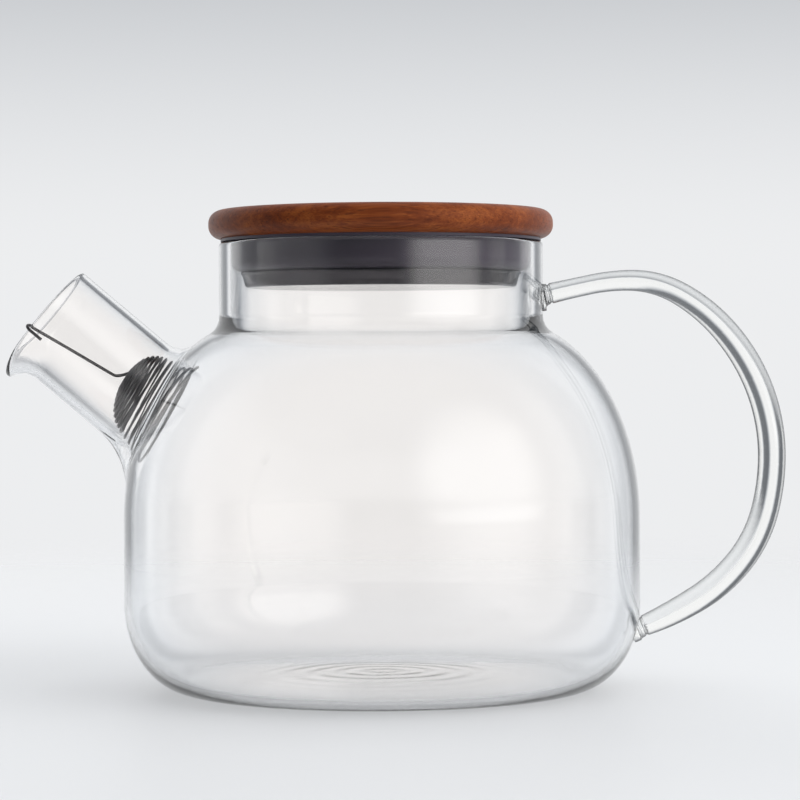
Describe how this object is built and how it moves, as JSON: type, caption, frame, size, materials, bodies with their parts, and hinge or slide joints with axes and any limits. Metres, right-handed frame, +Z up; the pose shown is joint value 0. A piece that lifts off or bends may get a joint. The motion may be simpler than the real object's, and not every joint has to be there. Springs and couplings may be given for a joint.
{
  "type": "glass teapot",
  "caption": "Clear glass teapot with a slanted tube spout, a wire spring strainer in the spout, a bent glass rod handle and a wooden plug lid.",
  "frame": {"origin": "on the pot's axis, in the plane of the ring that it stands on", "axes": "+Z up along the pot's axis, -X towards the spout, +X towards the handle"},
  "size_m": [0.2041, 0.135, 0.1253],
  "materials": {
    "glass": "clear, polished",
    "glass_handle": "clear, polished rod",
    "strainer_wire": "drawn stainless wire",
    "liner_steel": "spun stainless sheet",
    "wood": "oiled, fine pores",
    "silicone": "matt silicone",
    "adhesive": "cured adhesive"
  },
  "bodies": {
    "pot": {"glass_body": "glass", "glass_spout": "glass", "glass_handle": "glass_handle", "handle_top_weld": "glass_handle", "handle_foot_weld": "glass_handle"},
    "lid": {"lid_disc": "wood", "lid_glue_ring": "adhesive", "lid_liner": "liner_steel", "lid_gasket": "silicone"},
    "strainer": {"spout_strainer": "strainer_wire"}
  },
  "joints": [
    {"name": "lid_lift", "type": "slide", "parent": "pot", "child": "lid", "axis": [0, 0, 1], "range_m": [0, 0.08]},
    {"name": "strainer_pull", "type": "slide", "parent": "pot", "child": "strainer", "axis": [-0.7627, 0, 0.6468], "range_m": [0, 0.055], "deforming": ["spout_strainer"]}
  ]
}
